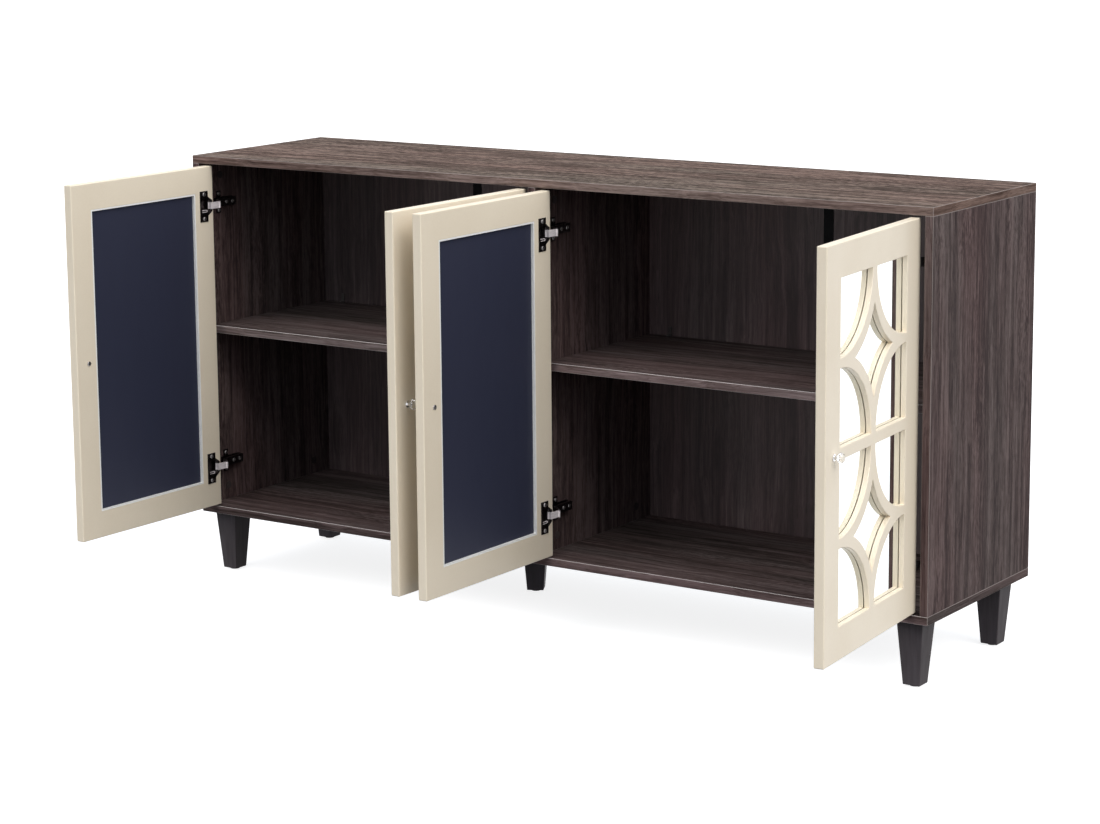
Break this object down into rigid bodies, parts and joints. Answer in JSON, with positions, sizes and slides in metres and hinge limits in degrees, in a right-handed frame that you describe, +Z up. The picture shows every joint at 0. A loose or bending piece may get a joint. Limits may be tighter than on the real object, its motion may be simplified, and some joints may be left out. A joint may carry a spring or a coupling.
{
  "type": "glass door buffet",
  "caption": "Low dark woodgrain buffet on short tapered legs, with inset cream fretwork mirror doors on cup hinges, crystal knobs and a shelf in each bay.",
  "frame": {"origin": "on the floor, under the middle of the carcass in width and depth", "axes": "+X to the right seen from the front, +Y from the front to the back, +Z up"},
  "size_m": [1.6248, 0.7772, 0.83],
  "materials": {
    "carcass_wood": "satin woodgrain laminate",
    "back_board": "matt printed board",
    "leg_wood": "satin dark stain",
    "door_paint": "satin cream paint on fibreboard",
    "mirror": "polished silvered glass",
    "bead_white": "satin",
    "chrome": "polished",
    "crystal": "polished clear",
    "hinge_black_nickel": "black nickel plate",
    "bright_steel": "bright nickel plate",
    "black_plastic": "satin",
    "clip_plastic": "satin"
  },
  "bodies": {
    "carcass": {"top_panel": "carcass_wood", "bottom_panel": "carcass_wood", "left_side_panel": "carcass_wood", "right_side_panel": "carcass_wood", "centre_divider": "carcass_wood", "left_shelf": "carcass_wood", "right_shelf": "carcass_wood", "left_back_panel_outer": "back_board", "left_back_panel_inner": "back_board", "right_back_panel_inner": "back_board", "right_back_panel_outer": "back_board", "left_back_joint_strip": "black_plastic", "right_back_joint_strip": "black_plastic", "front_left_leg": "leg_wood", "front_right_leg": "leg_wood", "back_left_leg": "leg_wood", "back_right_leg": "leg_wood", "centre_leg": "leg_wood", "foot_glides": "black_plastic", "leg_bolts": "bright_steel", "shelf_pegs": "bright_steel", "joint_covers": "clip_plastic", "back_clips": "clip_plastic", "hinge_arms": "hinge_black_nickel", "hinge_mounting_plates": "hinge_black_nickel", "hinge_plate_screws": "bright_steel"},
    "left_outer_door_links": {"left_outer_door_hinge_links": "bright_steel"},
    "left_outer_door": {"left_outer_door_panel": "door_paint", "left_outer_door_mirror": "mirror", "left_outer_door_mirror_bead": "bead_white", "left_outer_door_knob_base": "chrome", "left_outer_door_knob_head": "crystal", "left_outer_door_hinge_cups": "hinge_black_nickel", "left_outer_door_screws": "bright_steel"},
    "left_inner_door_links": {"left_inner_door_hinge_links": "bright_steel"},
    "left_inner_door": {"left_inner_door_panel": "door_paint", "left_inner_door_mirror": "mirror", "left_inner_door_mirror_bead": "bead_white", "left_inner_door_knob_base": "chrome", "left_inner_door_knob_head": "crystal", "left_inner_door_hinge_cups": "hinge_black_nickel", "left_inner_door_screws": "bright_steel"},
    "right_inner_door_links": {"right_inner_door_hinge_links": "bright_steel"},
    "right_inner_door": {"right_inner_door_panel": "door_paint", "right_inner_door_mirror": "mirror", "right_inner_door_mirror_bead": "bead_white", "right_inner_door_knob_base": "chrome", "right_inner_door_knob_head": "crystal", "right_inner_door_hinge_cups": "hinge_black_nickel", "right_inner_door_screws": "bright_steel"},
    "right_outer_door_links": {"right_outer_door_hinge_links": "bright_steel"},
    "right_outer_door": {"right_outer_door_panel": "door_paint", "right_outer_door_mirror": "mirror", "right_outer_door_mirror_bead": "bead_white", "right_outer_door_knob_base": "chrome", "right_outer_door_knob_head": "crystal", "right_outer_door_hinge_cups": "hinge_black_nickel", "right_outer_door_screws": "bright_steel"}
  },
  "joints": [
    {"name": "left_outer_door_link_swing", "type": "hinge", "parent": "carcass", "child": "left_outer_door_links", "pos_m": [-0.7533, -0.1778, 0.4745], "axis": [0, 0, 1], "range_deg": [-45.77, 1.77]},
    {"name": "left_outer_door_swing", "type": "hinge", "parent": "left_outer_door_links", "child": "left_outer_door", "pos_m": [-0.76185, -0.19976, 0.4745], "axis": [0, 0, -1], "range_deg": [-137.25, 5.25]},
    {"name": "left_inner_door_link_swing", "type": "hinge", "parent": "carcass", "child": "left_inner_door_links", "pos_m": [-0.0392, -0.1778, 0.4745], "axis": [0, 0, -1], "range_deg": [-44.27, 0.02]},
    {"name": "left_inner_door_swing", "type": "hinge", "parent": "left_inner_door_links", "child": "left_inner_door", "pos_m": [-0.03008, -0.19953, 0.4745], "axis": [0, 0, 1], "range_deg": [-132.75, 0]},
    {"name": "right_inner_door_link_swing", "type": "hinge", "parent": "carcass", "child": "right_inner_door_links", "pos_m": [0.0392, -0.1778, 0.4745], "axis": [0, 0, 1], "range_deg": [-45.27, 0.02]},
    {"name": "right_inner_door_swing", "type": "hinge", "parent": "right_inner_door_links", "child": "right_inner_door", "pos_m": [0.03046, -0.19969, 0.4745], "axis": [0, 0, -1], "range_deg": [-135.75, 0]},
    {"name": "right_outer_door_link_swing", "type": "hinge", "parent": "carcass", "child": "right_outer_door_links", "pos_m": [0.7533, -0.1778, 0.4745], "axis": [0, 0, -1], "range_deg": [-47.52, 0.02]},
    {"name": "right_outer_door_swing", "type": "hinge", "parent": "right_outer_door_links", "child": "right_outer_door", "pos_m": [0.76118, -0.20001, 0.4745], "axis": [0, 0, 1], "range_deg": [-142.5, 0]}
  ],
  "couplings": [
    {"joint": "left_outer_door_link_swing", "follows": "left_outer_door_swing", "ratio": 0.33333},
    {"joint": "left_inner_door_link_swing", "follows": "left_inner_door_swing", "ratio": 0.33333},
    {"joint": "right_inner_door_link_swing", "follows": "right_inner_door_swing", "ratio": 0.33333},
    {"joint": "right_outer_door_link_swing", "follows": "right_outer_door_swing", "ratio": 0.33333}
  ]
}
